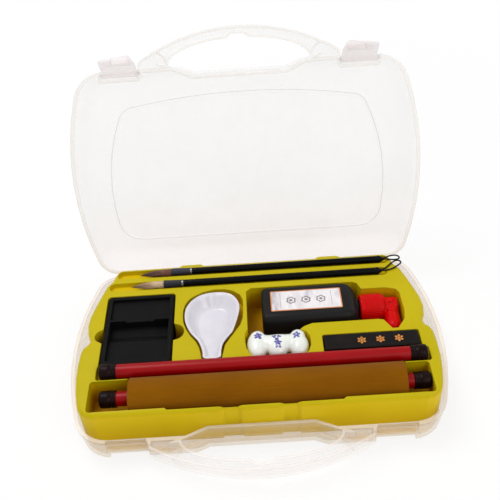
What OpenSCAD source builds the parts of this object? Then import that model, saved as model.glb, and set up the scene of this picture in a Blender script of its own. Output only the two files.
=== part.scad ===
/* [Case] */
// Height of the rim of the base above the table
rim_height = 25; // [24.5:0.5:26]
// Depth of the lid from its rim to its flat top
lid_depth = 34; // [34:0.5:38]
// Wall thickness of the two clear shells
wall = 2; // [1.8:0.1:2.1]
// Angle at which the lid stands open
lid_open_angle = 109.2; // [95.2:1:118.2]
// Angle at which the two latch flaps hang away from the lid
flap_angle = 38; // [30:1:70]

/* [Tray] */
// Thickness of the formed sheet of the tray
sheet = 1.2; // [1:0.1:1.3]
// Radius of the soft edge round the top of the tray
tray_edge = 4; // [3:0.5:4]

/* [Writing tools] */
// Diameter of the brush handles
handle_d = 6.3; // [5.8:0.1:6.5]
// Length of the hair tuft of each brush in front of its ferrule
hair_length = 31; // [28:0.5:32]
// Strands of hair in each brush
strands = 150; // [150:5:160]
// Diameter of the hanging loops of the brushes
loop_d = 1.2; // [1:0.1:1.3]
// Thickness of the ink stick
stick_thick = 9; // [8:0.5:10]
// Height of the inkstone
stone_height = 20; // [17:0.5:21]
// Wall thickness of the porcelain dish
dish_wall = 2; // [1.6:0.1:2.4]

/* [Scroll] */
// Radius of the roll of cloth
roll_r = 16.5; // [13:0.5:16.5]
// Diameter of the upper rod of the scroll
rod_d = 12; // [10:0.5:12]
// Diameter of the end caps of both rods
cap_d = 14; // [13:0.5:14]

/* [Hidden] */
$fn = 48;

// overall plan of the case
case_w = 320;
case_d = 192;
front_y = -case_d / 2;
side_r = 258;
side_y = 2.5;
front_r = 30;
back_r = 20;
lid_gap = 0.3;
floor_z = wall;
lid_z = rim_height + lid_gap;
// hinge at the back
hinge_y = case_d / 2 + 1.4;
hinge_z = rim_height;
hinge_x = case_w / 2 - 65;
knuckle_len = 24;
lug_len = 12;
hinge_play = 0.4;
pin_r = 2;
bore_r = 2.06;
knuckle_r = 3.4;
swing_r = 3.9;
// latch flaps
latch_x0 = case_w / 2 - 70;
latch_x1 = case_w / 2 - 38;
latch_y = front_y + 3.5;
latch_z = rim_height + 5;
pivot_r = 1.5;
pivot_hole_r = 1.56;
ledge_z = 10;
ledge_y = front_y + 2.7;
hook_gap = 0.6;
flap_out = 4;
flap_in = 1.8;
// carrying handle
grip_r = 166.3;
grip_c = front_y + 134.8;
cheek_x = 88.5;
grip_t = 14;
hole_a = 62.5;
hole_b = 21.4;
hole_y = front_y - 0.4;
// tray and what lies in it
tray_top = 45;
stone_floor = 25;
bottle_floor = 19;
rod_y = -41.3;
rod_z = tray_top + 0.3;
shelf_z = rod_z - cap_d / 2 - 0.4;
roller_y = -63.3;
roller_z = 38;
trough_z = roller_z - roll_r - 0.4;
bottle_y = 24;
bottle_z = 34;
brush_z = 45.3;
brush_a_y = 74.6;
brush_b_y = 59;
fillet = [[1, 0], [0.62, 0.08], [0.28, 0.3], [0.08, 0.62], [0, 1]];

function unit(v) = v / norm(v);
function arc(c, r, a0, a1, n) =
  [for (i = [0 : n]) [c[0] + r * cos(a0 + (a1 - a0) * i / n), c[1] + r * sin(a0 + (a1 - a0) * i / n)]];
function both_sides(right) =
  concat(right, [for (i = [len(right) - 1 : -1 : 0]) [-right[i][0], right[i][1]]]);
// a closed outline drawn in by d, or out where d is negative
function inset(p, d) = [for (i = [0 : len(p) - 1]) let (n = len(p), b = p[i],
  u = unit(b - p[(i + n - 1) % n]), v = unit(p[(i + 1) % n] - b),
  k = d / (1 + u[0] * v[0] + u[1] * v[1])) [b[0] - k * (u[1] + v[1]), b[1] + k * (u[0] + v[0])]];
function slot_plan(x0, x1, y, r) = concat(arc([x1 - r, y], r, -90, 90, 8), arc([x0 + r, y], r, 90, 270, 8));
function box_plan(x0, x1, y0, y1, r) = concat(arc([x1 - r, y0 + r], r, -90, 0, 4),
  arc([x1 - r, y1 - r], r, 0, 90, 4), arc([x0 + r, y1 - r], r, 90, 180, 4),
  arc([x0 + r, y0 + r], r, 180, 270, 4));

side_cx = case_w / 2 - side_r;
front_cx = side_cx + sqrt(pow(side_r - front_r, 2) - pow(case_d / 2 - front_r + side_y, 2));
back_cx = side_cx + sqrt(pow(side_r - back_r, 2) - pow(case_d / 2 - back_r - side_y, 2));
front_a = -atan((case_d / 2 - front_r + side_y) / (front_cx - side_cx));
back_a = atan((case_d / 2 - back_r - side_y) / (back_cx - side_cx));
side_pts = arc([side_cx, side_y], side_r, front_a, back_a, 8);
case_plan = both_sides(concat(
  arc([front_cx, front_r - case_d / 2], front_r, -90, front_a, 6),
  [for (i = [1 : 7]) side_pts[i]],
  arc([back_cx, case_d / 2 - back_r], back_r, back_a, 90, 6)));
// raised panel in the top of the lid
panel_side = [-47, 25];
panel_side_r = 179;
panel_front_r = 610;
panel_front = [0, front_y + 30 + panel_front_r];
panel_back = case_d / 2 - 21;
function meet(p, r, q, s) = let (d = norm(q - p), a = (r * r - s * s + d * d) / (2 * d),
  h = sqrt(r * r - a * a), u = unit(q - p)) [p[0] + a * u[0] - h * u[1], p[1] + a * u[1] + h * u[0]];
panel_fr = 16;
panel_br = 22;
panel_fc = meet(panel_front, panel_front_r - panel_fr, panel_side, panel_side_r - panel_fr);
panel_bc = [panel_side[0]
  + sqrt(pow(panel_side_r - panel_br, 2) - pow(panel_back - panel_br - panel_side[1], 2)),
  panel_back - panel_br];
function heading(p, q) = atan2(q[1] - p[1], q[0] - p[0]);
panel_a0 = heading(panel_front, panel_fc);
panel_a1 = heading(panel_side, panel_fc);
panel_a2 = heading(panel_side, panel_bc);
panel_front_pts = arc(panel_front, panel_front_r, -90, panel_a0, 6);
panel_side_pts = arc(panel_side, panel_side_r, panel_a1, panel_a2, 6);
panel_plan = both_sides(concat([for (i = [1 : 5]) panel_front_pts[i]],
  arc(panel_fc, panel_fr, panel_a0, panel_a1, 4), [for (i = [1 : 5]) panel_side_pts[i]],
  arc(panel_bc, panel_br, panel_a2, 90, 4)));

// plan of the recess behind the handle and of the handle itself
set_back = [[-62.5, front_y - 0.5], [62.5, front_y - 0.5], [42, front_y + 9.1], [-42, front_y + 9.1]];
grip_fr = 5;
grip_fy = grip_c - sqrt(pow(grip_r - grip_fr, 2) - pow(cheek_x - grip_fr, 2));
grip_a = atan((cheek_x - grip_fr) / (grip_c - grip_fy));
grip_pts = arc([0, grip_c], grip_r, -90 - grip_a, -90 + grip_a, 14);
grip_plan = concat([[-cheek_x, front_y + 3.6]],
  arc([grip_fr - cheek_x, grip_fy], grip_fr, 180, 270 - grip_a, 4),
  [for (i = [1 : 13]) grip_pts[i]], arc([cheek_x - grip_fr, grip_fy], grip_fr, grip_a - 90, 0, 4),
  [[cheek_x, front_y + 3.6]]);
hole_pts = [for (i = [0 : 24]) [hole_a * cos(180 + i * 7.5), hole_y + hole_b * sin(180 + i * 7.5)]];
hole_plan = concat([[-62.2, front_y + 0.1]], [for (i = [0 : 10]) hole_pts[i]],
  [[-9.4, hole_y - 21.1], [-5, front_y - 25], [5, front_y - 25], [9.4, hole_y - 21.1]],
  [for (i = [14 : 24]) hole_pts[i]], [[62.2, front_y + 0.1]]);

// front wall of the trough, one sheet behind the front of the tray
trough_front = -84.4 + 2 * sheet;
// outline of the tray, from the front round the right side to the back
tray_right = [[136, -82.6], [140.2, -79.4], [142.8, -75], [144.4, -69.4], [146.8, -57], [148.4, -43],
  [148.6, -28], [148, -16.5], [146.6, -11.6], [143.4, -8.4], [141.4, -4.4], [142.2, -0.4], [144.2, 4.2],
  [145.8, 15], [144.9, 25], [141.7, 38], [138, 51], [134.4, 62.4], [131, 67], [129.2, 70.4], [127.8, 76],
  [125.2, 81.6]];
tray_left = [for (i = [len(tray_right) - 1 : -1 : 0]) [-tray_right[i][0], tray_right[i][1]]];
tray_front = [[-130, -84.3], [-31, -84.3], [-28, -82.6], [-17, -82.6], [-14, -84.3], [16, -84.3],
  [19, -82.6], [29, -82.6], [32, -84.3], [130, -84.3]];
tray_back = [[121, 83.4], [82, 83.4], [79, 86], [61, 86], [58, 83.4], [-45, 83.4], [-48, 86], [-66, 86],
  [-69, 83.4], [-121, 83.4]];
tray_plan = concat(tray_front, tray_right, tray_back, tray_left);
// hollows of the tray
stone_plan = [[-131, -36], [-70, -36], [-70, 44.4], [-72, 46.8], [-129, 46.8], [-131, 44.4]];
notch_l = concat([[-129, 8.6]], arc([-130.4, -0.7], 7.2, 120, 240, 10), [[-129, -10]]);
notch_r = concat([[-72, -11]], arc([-70.2, -0.6], 9.2, -78, 78, 12), [[-72, 11]]);
dish_pocket = [[-45.4, -36], [-29.4, -36], [-27.6, -26], [-26.2, -19], [-22.6, -12.8], [-17.8, -5], [-13, 3],
  [-10.8, 11], [-10.2, 20], [-10.2, 33], [-12.4, 39.4], [-18.4, 45], [-26, 48], [-36, 48.2], [-45, 46],
  [-52, 42.2], [-57.4, 38], [-61, 31.8], [-62.6, 25], [-62.8, 17], [-62, 9.6], [-59.8, 2], [-56, -6],
  [-50.8, -13.6], [-48.2, -20], [-46.6, -27]];
bottle_pocket = [[-7, -5], [36.4, -7.6], [41, -3.6], [48, -0.6], [104, -0.6], [108.6, -1.6], [114.6, -12],
  [119.4, -12], [126.6, -1.4], [128, 8], [127.6, 30], [125, 34.6], [116, 37.2], [95, 37.4], [92, 45],
  [88, 47], [-3, 47], [-7, 43]];
rest_pocket = [[-9.4, -8], [-9.6, -15], [-8.6, -24], [-5.4, -31], [-1, -35.8], [38, -35.8], [42.8, -31],
  [45.2, -24], [45.2, -15], [42.6, -9.6], [36.4, -6], [-7, -3]];
stick_pocket = box_plan(54.8, 135.4, -36, -14.8, 2);
shelf_plan = box_plan(-131.6, 139.8, -49.1, -33.8, 2.4);
trough_plan = concat(arc([-132.5, -77.4], 3, 180, 270, 5), [[-74, -80.4],
  [-72, trough_front], [65, trough_front], [67, -80.4]], arc([133.8, -77.4], 3, 270, 360, 5),
  arc([133.8, -53], 3, 0, 90, 5), [[118, -50], [118, -45], [-105, -45], [-105, -50]],
  arc([-132.5, -53], 3, 90, 180, 5));
groove_a = slot_plan(-125, 125.4, 74.4, 5.1);
groove_b = slot_plan(-131, 122, 58.8, 5.1);

// rim of the dish as pairs, right and left, from its narrow end to its round end
dish_pairs = [[-33.2, -30.8, -43.4], [-26, -29.4, -45], [-19, -28.1, -46.8], [-12.5, -24.8, -49.6],
  [-5, -19.8, -54.8], [3, -17.2, -58.5], [10.5, -15.2, -60.6], [18, -13.7, -61.2], [25, -13.2, -60.4],
  [31, -14.4, -58], [36, -16.8, -54.4], [40.2, -20.4, -49.4], [42.7, -25.6, -43.6], [43.6, -31.2, -37.4]];
dish_top = 46.2;
dish_rim = concat([for (p = dish_pairs) [p[1], p[0]]],
  [for (i = [13 : -1 : 0]) [dish_pairs[i][2], dish_pairs[i][0]]]);
function dish_depth(y) = y > 0 ? 12 : 12 + y * 0.16;
function dish_spine(y) = [-37, max(min(y, 20), -14)];
// one ring of the dish: drawn in by share s and by d, lowered by share g less t
function dish_ring(d, s, g, t) = let (r = inset(dish_rim, d))
  [for (p = r) let (q = dish_spine(p[1])) [p[0] + s * (q[0] - p[0]), p[1] + s * (q[1] - p[1]),
    dish_top - dish_depth(p[1]) * g + t]];

// routes of the two hanging loops
loop_a = [[121.6, 75.2, 45.5], [123.6, 76, 45.75], [125.8, 76.9, 46], [128.2, 77.6, 46], [130.6, 77.9, 46],
  [132.9, 77.6, 46], [134.7, 76.5, 46], [135.4, 74.9, 46], [135, 73.3, 46], [133.4, 72.3, 46],
  [131, 72, 46], [128.4, 72.2, 46], [126, 72.8, 45.95], [123.8, 73.4, 45.75], [121.6, 74.1, 45.5]];
loop_b = [[117.2, 59.7, 45.5], [119, 60.6, 45.8], [121.4, 62.2, 46], [123.8, 64.4, 46], [126.2, 66.8, 46],
  [128.8, 69, 46], [131.6, 70.5, 46], [134.2, 70.3, 46], [135.6, 68.7, 46], [135.2, 66.6, 46],
  [133.4, 64.8, 46], [131, 63, 46], [128.4, 61.2, 46], [125.4, 59.7, 46], [122.2, 58.8, 45.9],
  [119.4, 58.4, 45.7], [117.2, 58.5, 45.5]];
function cross3(a, b) = [a[1] * b[2] - a[2] * b[1], a[2] * b[0] - a[0] * b[2], a[0] * b[1] - a[1] * b[0]];

// a closed skin through rings of equal count, each at its own height
module loft(rings, zs) {
  n = len(rings[0]);
  m = len(rings);
  polyhedron(
    points = [for (j = [0 : m - 1]) for (q = rings[j]) [q[0], q[1], zs[j]]],
    faces = concat([[for (i = [0 : n - 1]) i]],
      [for (j = [0 : m - 2]) for (i = [0 : n - 1]) let (k = (i + 1) % n)
        for (f = [[j * n + i, (j + 1) * n + i, (j + 1) * n + k], [j * n + i, (j + 1) * n + k, j * n + k]]) f],
      [[for (i = [n - 1 : -1 : 0]) (m - 1) * n + i]]));
}
// a skin whose two ends close in strips between paired points
module paired_loft(rings) {
  n = len(rings[0]);
  m = len(rings);
  h = n / 2;
  polyhedron(
    points = [for (r = rings) for (q = r) q],
    faces = concat(
      [for (i = [0 : h - 2]) for (f = [[i, i + 1, n - 2 - i], [i, n - 2 - i, n - 1 - i]]) f],
      [for (j = [0 : m - 2]) for (i = [0 : n - 1]) let (k = (i + 1) % n)
        for (f = [[j * n + i, (j + 1) * n + i, (j + 1) * n + k], [j * n + i, (j + 1) * n + k, j * n + k]]) f],
      [for (i = [0 : h - 2]) for (f = [[i, n - 2 - i, i + 1], [i, n - 1 - i, n - 2 - i]])
        [for (x = f) (m - 1) * n + x]]));
}
module one_skin() {
  resize([0, 0, 0]) children();
}
module prism(plan, z0, z1) {
  translate([0, 0, z0]) linear_extrude(z1 - z0) polygon(plan);
}
module each_side() {
  children();
  mirror([1, 0, 0]) children();
}
// round bar along X
module bar(x0, x1, y, z, r) {
  translate([x0, y, z]) rotate([0, 90, 0]) cylinder(h = x1 - x0, r = r);
}
// profile drawn in Y and Z, drawn out along X
module along_x(x0, x1, profile) {
  translate([x0, 0, 0]) rotate([90, 0, 90]) linear_extrude(x1 - x0) polygon(profile);
}

// one half of the carrying handle, open side up, from z0 up by h
module grip(z0, h) {
  difference() {
    loft([inset(grip_plan, 2), inset(grip_plan, 0.7), inset(grip_plan, 0.15), grip_plan],
      [z0, z0 + 0.7, z0 + 2, z0 + h]);
    loft([inset(hole_plan, -1.2), inset(hole_plan, -0.3), hole_plan, hole_plan],
      [z0 - 0.1, z0 + 0.8, z0 + 2, z0 + h + 1]);
    difference() {
      prism(inset(grip_plan, 2.2), z0 + 2, z0 + h + 1);
      prism(inset(hole_plan, -2.2), z0 - 1, z0 + h + 2);
      prism(inset(set_back, -2.2), z0 - 1, z0 + h + 2);
    }
  }
  intersection() {
    prism(inset(grip_plan, 1), z0 + 1, z0 + h - 1);
    difference() {
      each_side() translate([75.5, front_y - 1.5, z0]) cylinder(h = h, r = 13.4);
      each_side() translate([75.5, front_y - 1.5, z0 - 1]) cylinder(h = h + 2, r = 11.6);
      prism(inset(hole_plan, -1.1), z0 - 1, z0 + h + 1);
    }
  }
}

module base_hollow() {
  difference() {
    loft([inset(case_plan, 5.5 + wall), inset(case_plan, 4 + wall), inset(case_plan, 2.9 + wall),
      inset(case_plan, 2.3 + wall), inset(case_plan, 1.1 + wall)],
      [floor_z, floor_z + 1, floor_z + 3, floor_z + 5, rim_height + 1]);
    prism(inset(set_back, -wall), -1, rim_height + 2);
    each_side() translate([latch_x0 - wall, front_y - 4, -1])
      cube([latch_x1 - latch_x0 + 2 * wall, 12.5 + wall, ledge_z + 3]);
  }
}

module base_body() {
  one_skin() difference() {
    union() {
      loft([inset(case_plan, 5.5), inset(case_plan, 3.9), inset(case_plan, 3.1), inset(case_plan, 2.6),
        inset(case_plan, 1.3), case_plan, case_plan],
        [0, 0.8, 2.2, 5, rim_height - 3.2, rim_height - 2.8, rim_height]);
      grip(rim_height - grip_t, grip_t);
    }
    base_hollow();
    prism(set_back, -1, rim_height + 1);
    each_side() translate([latch_x0, front_y - 4, ledge_z])
      cube([latch_x1 - latch_x0, ledge_y - front_y + 4, 30]);
    each_side() translate([latch_x0, front_y - 4, -1]) cube([latch_x1 - latch_x0, 12.5, ledge_z + 1]);
  }
}

module base_shell() {
  color("#F4F2EF") {
    difference() {
      union() {
        difference() {
          base_body();
          each_side() bar(hinge_x - knuckle_len / 2, hinge_x + knuckle_len / 2, hinge_y, hinge_z, swing_r);
        }
        each_side() for (x = [hinge_x - knuckle_len / 2 - lug_len, hinge_x + knuckle_len / 2]) {
          bar(x, x + lug_len, hinge_y, hinge_z, knuckle_r);
          along_x(x, x + lug_len, [[hinge_y - 4, rim_height - 9], [hinge_y - 2.8, rim_height - 9],
            [hinge_y + 2.4, rim_height - 2.4], [hinge_y, rim_height], [hinge_y - 4, rim_height]]);
        }
        each_side() bar(hinge_x - knuckle_len / 2 - 1, hinge_x + knuckle_len / 2 + 1, hinge_y, hinge_z,
          pin_r);
        each_side() for (z = [ledge_z + 2.5, ledge_z + 6.5, ledge_z + 10.5])
          translate([latch_x0 + 2, ledge_y - 0.5, z]) cube([latch_x1 - latch_x0 - 4, 1, 0.9]);
      }
    }
  }
}

module lid_hollow() {
  difference() {
    loft([inset(case_plan, 1.1 + wall), inset(case_plan, 1.2 + wall), inset(case_plan, 2.5 + wall),
      inset(case_plan, 4.4 + wall), inset(case_plan, 8 + wall), inset(case_plan, 11.4 + wall)],
      [lid_z - 1, lid_z + 3, lid_z + lid_depth - 10.5, lid_z + lid_depth - 5.4,
        lid_z + lid_depth - 2.8, lid_z + lid_depth - wall]);
    prism(inset(set_back, -wall), lid_z - 2, lid_z + lid_depth + 2);
    each_side() translate([latch_x0 - wall, front_y - 4, lid_z - 2])
      cube([latch_x1 - latch_x0 + 2 * wall, 12 + wall, 18 + wall]);
  }
  loft([inset(panel_plan, 2), inset(panel_plan, 2.6)],
    [lid_z + lid_depth - wall - 0.5, lid_z + lid_depth - wall + 1.5]);
}

module lid_body() {
  one_skin() difference() {
    union() {
      loft([case_plan, case_plan, inset(case_plan, 1.3), inset(case_plan, 2.6), inset(case_plan, 4.6),
        inset(case_plan, 8.5), inset(case_plan, 12)],
        [lid_z, lid_z + 2.8, lid_z + 3.2, lid_z + lid_depth - 10, lid_z + lid_depth - 4,
          lid_z + lid_depth - 1, lid_z + lid_depth]);
      loft([panel_plan, panel_plan, inset(panel_plan, 0.8)],
        [lid_z + lid_depth - 1, lid_z + lid_depth + 0.7, lid_z + lid_depth + 1.5]);
      translate([0, 0, 2 * lid_z]) mirror([0, 0, 1]) grip(lid_z - grip_t, grip_t);
    }
    lid_hollow();
    prism(set_back, lid_z - 1, lid_z + lid_depth + 3);
    each_side() translate([latch_x0, front_y - 4, lid_z - 1]) cube([latch_x1 - latch_x0, 12, 17]);
  }
}

module lid_closed() {
  difference() {
    union() {
      lid_body();
      each_side() {
        bar(hinge_x - knuckle_len / 2 + hinge_play, hinge_x + knuckle_len / 2 - hinge_play, hinge_y, hinge_z,
          knuckle_r);
        along_x(hinge_x - knuckle_len / 2 + hinge_play, hinge_x + knuckle_len / 2 - hinge_play,
          [[hinge_y, lid_z], [hinge_y + 2.4, lid_z + 2.2], [hinge_y - 2.8, lid_z + 9],
            [hinge_y - 4, lid_z + 9],
            [hinge_y - 4, lid_z]]);
        bar(latch_x0 - wall, latch_x0, latch_y, latch_z, 3);
        bar(latch_x1, latch_x1 + wall, latch_y, latch_z, 3);
      }
    }
    each_side() {
      bar(hinge_x - knuckle_len / 2, hinge_x + knuckle_len / 2, hinge_y, hinge_z, bore_r);
      translate([hinge_x - knuckle_len / 2, hinge_y, hinge_z - 1.3]) cube([knuckle_len, 6, 2.6]);
      bar(hinge_x - knuckle_len / 2 - lug_len - hinge_play, hinge_x - knuckle_len / 2 + 0.1, hinge_y, hinge_z,
        swing_r);
      bar(hinge_x + knuckle_len / 2 - 0.1, hinge_x + knuckle_len / 2 + lug_len + hinge_play, hinge_y, hinge_z,
        swing_r);
      bar(latch_x0 - wall - 1, latch_x1 + wall + 1, latch_y, latch_z, pivot_hole_r);
    }
  }
}

// turns what is drawn closed to where it stands with the lid open
module lid_pose() {
  translate([0, hinge_y, hinge_z]) rotate([-lid_open_angle, 0, 0]) translate([0, -hinge_y, -hinge_z])
    children();
}

module lid_shell() {
  color("#F5F3F2") lid_pose() lid_closed();
}

// right flap as it lies when it is shut
module flap() {
  x0 = latch_x0 + 0.6;
  x1 = latch_x1 - 0.6;
  tip_z = ledge_z - hook_gap - 2.6;
  bar(x0, x1, latch_y, latch_z, 3);
  bar(latch_x0 - wall + 0.2, latch_x1 + wall - 0.2, latch_y, latch_z, pivot_r);
  intersection() {
    union() {
      translate([x0, latch_y - flap_out, tip_z]) cube([x1 - x0, flap_out - flap_in, latch_z - tip_z]);
      translate([x0, latch_y - flap_out, tip_z]) cube([x1 - x0, flap_out + 3, 2.6]);
      for (z = [latch_z - 7, latch_z - 10, latch_z - 13])
        translate([x0 + 4, latch_y - flap_out - 0.5, z]) cube([x1 - x0 - 8, 1, 1]);
    }
    translate([0, front_y + 16, 0]) rotate([90, 0, 0]) linear_extrude(30)
      polygon([[x0, latch_z + 1], [x0, tip_z + 14], [x0 + 3.2, tip_z + 1], [x0 + 4.4, tip_z], [x0 + 7, tip_z],
        [x1 - 1.6, tip_z + 4.8], [x1, tip_z + 6.4], [x1, latch_z + 1]]);
  }
}

module flap_pose() {
  lid_pose() translate([0, latch_y, latch_z]) rotate([-flap_angle, 0, 0]) translate([0, -latch_y, -latch_z])
    children();
}

module latch_right() {
  color("#F2F0EC") flap_pose() flap();
}

module latch_left() {
  color("#F2F0EC") flap_pose() mirror([1, 0, 0]) flap();
}

module pocket(plan, z, grow) {
  prism(grow > 0 ? inset(plan, -grow) : plan, z - grow, tray_top + 2);
}

module pockets(grow) {
  pocket(stone_plan, stone_floor, grow);
  pocket(notch_l, stone_floor - 5, grow);
  pocket(notch_r, stone_floor - 5, grow);
  pocket(dish_pocket, dish_top - 12.4, grow);
  pocket(bottle_pocket, bottle_floor, grow);
  pocket(rest_pocket, 30.7, grow);
  pocket(stick_pocket, 46 - stick_thick, grow);
  pocket(shelf_plan, shelf_z, grow);
  pocket(trough_plan, trough_z, grow);
  pocket(groove_a, brush_z - 4.4, grow);
  pocket(groove_b, brush_z - 4.4, grow);
}

module tray() {
  edges = [for (f = fillet) f[1] * tray_edge];
  color("#C8B92D") one_skin() difference() {
    loft(concat([inset(tray_plan, 4.4), inset(tray_plan, 2.8), inset(tray_plan, 1.5), inset(tray_plan, 0.6)],
      [for (e = edges) inset(tray_plan, e)]),
      concat([floor_z, floor_z + 1.2, floor_z + 3.4, floor_z + 7],
        [for (f = fillet) tray_top - f[0] * tray_edge]));
    pockets(0);
    difference() {
      loft([inset(tray_plan, 4.6 + sheet), inset(tray_plan, 2.8 + sheet), inset(tray_plan, 1.5 + sheet),
        inset(tray_plan, 0.6 + sheet), inset(tray_plan, sheet), inset(tray_plan, sheet + 2)],
        [floor_z - 1, floor_z + 1.2, floor_z + 3.4, floor_z + 7, tray_top - tray_edge, tray_top - sheet]);
      pockets(sheet);
    }
  }
}

module inkstone() {
  z = stone_floor;
  color("#232020") difference() {
    one_skin() loft([box_plan(-129, -72, -32.4, 45.4, 2.4), box_plan(-130, -71, -33.4, 46.4, 3),
      box_plan(-130, -71, -33.4, 46.4, 3), box_plan(-129.2, -71.8, -32.6, 45.6, 2.6)],
      [z, z + 1, z + stone_height - 0.8, z + stone_height]);
    prism(box_plan(-126, -75, 17.2, 42.4, 1.6), z + stone_height - 3, z + stone_height + 1);
    along_x(-126, -75, [[-29.4, z + stone_height - 3.4], [-29.4, z + stone_height + 1],
      [15.8, z + stone_height + 1], [15.8, z + stone_height - 9], [4, z + stone_height - 9],
      [-4, z + stone_height - 5]]);
    along_x(-113, -88, [[10, z + stone_height - 2], [24, z + stone_height - 2], [24, z + stone_height + 1],
      [10, z + stone_height + 1]]);
  }
}

module spoon_dish() {
  w = dish_wall;
  color("#ECEAF2") one_skin() difference() {
    paired_loft([dish_ring(0, 0.46, 1, 0), dish_ring(0, 0.34, 0.88, 0), dish_ring(0, 0.2, 0.6, 0),
      dish_ring(0, 0.08, 0.24, 0), dish_ring(0, 0, 0.04, 0), dish_ring(0.5, 0, 0, 0)]);
    paired_loft([dish_ring(w, 0.42, 1, w), dish_ring(w, 0.3, 0.84, w), dish_ring(w, 0.17, 0.54, w * 0.8),
      dish_ring(w, 0.06, 0.2, w * 0.4), dish_ring(w, 0, 0, 0), dish_ring(w, 0, -0.2, 0)]);
  }
}

// flat sided bottle along X, as sections across it: [x, drawn in by]
bottle_steps = [[6, 4], [6.7, 2], [8, 0.7], [10, 0], [79, 0], [82.5, 0.9], [85.5, 2.6], [88, 5.2], [89.6, 8]];
bottle_plan = inset(box_plan(-15, 15, -21, 21, 6.5), 0);
module bottle_body() {
  color("#2D2B2A") {
    translate([0, bottle_y, bottle_z]) rotate([0, 90, 0]) one_skin()
      loft([for (s = bottle_steps)
        [for (p = bottle_plan) [p[0] * (15 - s[1]) / 15, p[1] * (21 - s[1]) / 21]]],
        [for (s = bottle_steps) s[0]]);
    bar(88, 91.8, bottle_y, bottle_z, 9.4);
    bar(91, 110.6, bottle_y, bottle_z, 7);
  }
}

module bottle_label() {
  color("#D9D6D8") translate([14, bottle_y - 12, bottle_z + 15]) cube([62, 24.6, 0.2]);
}

module bottle_cap() {
  color("#DC0A0F") {
    difference() {
      union() {
        bar(92.2, 112.2, bottle_y, bottle_z, 12);
        bar(112.1, 113, bottle_y, bottle_z, 11.2);
        bar(112.9, 124.4, bottle_y, bottle_z, 8.4);
        bar(124.3, 125.4, bottle_y, bottle_z, 7.4);
        translate([118.6, bottle_y, bottle_z]) rotate([90, 0, 0]) cylinder(h = 25.6, r1 = 7, r2 = 5.2);
        translate([118.6, bottle_y - 25.6, bottle_z]) sphere(r = 5.2);
      }
      bar(90, 110.8, bottle_y, bottle_z, 7.07);
    }
    translate([118.6, bottle_y, bottle_z]) cylinder(h = 9.6, r = 3.2);
  }
}

module blob(c, r, s) {
  translate(c) scale(s) sphere(r = r, $fn = 16);
}

// low porcelain rest with three lobes
module brush_rest() {
  color("#E4E6E2") one_skin() difference() {
    union() {
      blob([0.4, -16.6, 38.6], 8, [1.12, 1.86, 1.0]);
      blob([17.4, -20.4, 38.8], 8, [1.1, 1.36, 0.96]);
      blob([35.4, -19.6, 38.6], 8, [1.08, 1.52, 1.0]);
      blob([17.6, -15.6, 38.2], 8, [2.5, 1.1, 0.94]);
    }
    translate([-20, -45, 20]) cube([80, 60, 11]);
    for (x = [9.2, 26.2]) translate([x, -20, 30.6]) rotate([90, 0, 0]) cylinder(h = 30, r = 4.6, $fn = 24);
  }
}

module ink_stick() {
  color("#262525") one_skin() loft([box_plan(57, 133, -31, -17, 0.6), box_plan(56, 134, -32, -16, 1),
    box_plan(56, 134, -32, -16, 1), box_plan(56.8, 133.2, -31.2, -16.8, 0.6)],
    [46 - stick_thick, 46.6 - stick_thick, 45.4, 46]);
}

module scroll_top_rod() {
  color("#96000A") {
    bar(-114.6, 123.3, rod_y, rod_z, rod_d / 2);
    bar(-122, 131, rod_y, rod_z, 3.6);
  }
}

module end_cap(x0, x1, y, z) {
  r = cap_d / 2;
  m = (x0 + x1) / 2;
  s = x1 > x0 ? 1 : -1;
  difference() {
    translate([x0, y, z]) rotate([0, 90 * s, 0]) rotate_extrude()
      polygon([[0, 0], [r - 0.4, 0], [r, 0.4], [r, 11.6], [r - 0.6, 13], [r - 1.8, 14], [0, 14]]);
    translate([x0 - s, y, z]) rotate([0, 90 * s, 0]) cylinder(h = 9.4, r = 3.7);
  }
}

module scroll_top_caps() {
  color("#2A1614") {
    end_cap(-114.6, -128.6, rod_y, rod_z);
    end_cap(123.3, 137.3, rod_y, rod_z);
  }
}

module scroll_roller() {
  color("#96000A") {
    bar(-113.5, 122.5, roller_y, roller_z, 6);
    bar(-121, 130, roller_y, roller_z, 3.6);
  }
}

module scroll_roller_caps() {
  color("#2A1614") {
    end_cap(-113.5, -127.5, roller_y, roller_z);
    end_cap(122.5, 136.5, roller_y, roller_z);
  }
}

module scroll_cloth() {
  color("#8C5000") difference() {
    bar(-103, 116, roller_y, roller_z, roll_r);
    bar(-104, 117, roller_y, roller_z, 6.1);
  }
}

// the cloth that runs from the roll up to the upper rod
module scroll_tail() {
  a = atan2(rod_z - roller_z, rod_y - roller_y);
  gap = norm([rod_z - roller_z, rod_y - roller_y]);
  color("#8C5000") difference() {
    translate([-103, roller_y, roller_z]) rotate([a, 0, 0]) translate([0, 0, -5.6]) cube([219, gap, 0.6]);
    bar(-104, 117, roller_y, roller_z, roll_r);
    bar(-104, 117, rod_y, rod_z, rod_d / 2);
  }
}

// one strand: a three sided spike that swells and closes with the whole tuft
function belly(t) = t < 0.3 ? 1 + 0.5 * t : t < 0.6 ? 1.15 - 0.9 * (t - 0.3) : 0.88 - 1.6 * (t - 0.6);
function strand_pts(i, n, r) = let (q = r * sqrt((i + 0.5) / n), a = i * 137.508, w = r * 0.05,
  e = 1 - 0.22 * pow(q / r, 2)) concat([for (t = [-0.06, 0.45 * e]) for (k = [0 : 2])
    let (s = belly(max(t, 0))) [-t * hair_length, s * (q * cos(a) + w * cos(37 * i + 120 * k)),
      s * (q * sin(a) + w * sin(37 * i + 120 * k))]],
  [[-e * hair_length, 0.9 * belly(e) * q * cos(a), 0.9 * belly(e) * q * sin(a)]]);
strand_faces = concat([[2, 1, 0]], [for (k = [0 : 2]) let (m = (k + 1) % 3)
  for (g = [[k, m + 3, k + 3], [k, m, m + 3]]) g], [[3, 4, 6], [4, 5, 6], [5, 3, 6]]);
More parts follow.
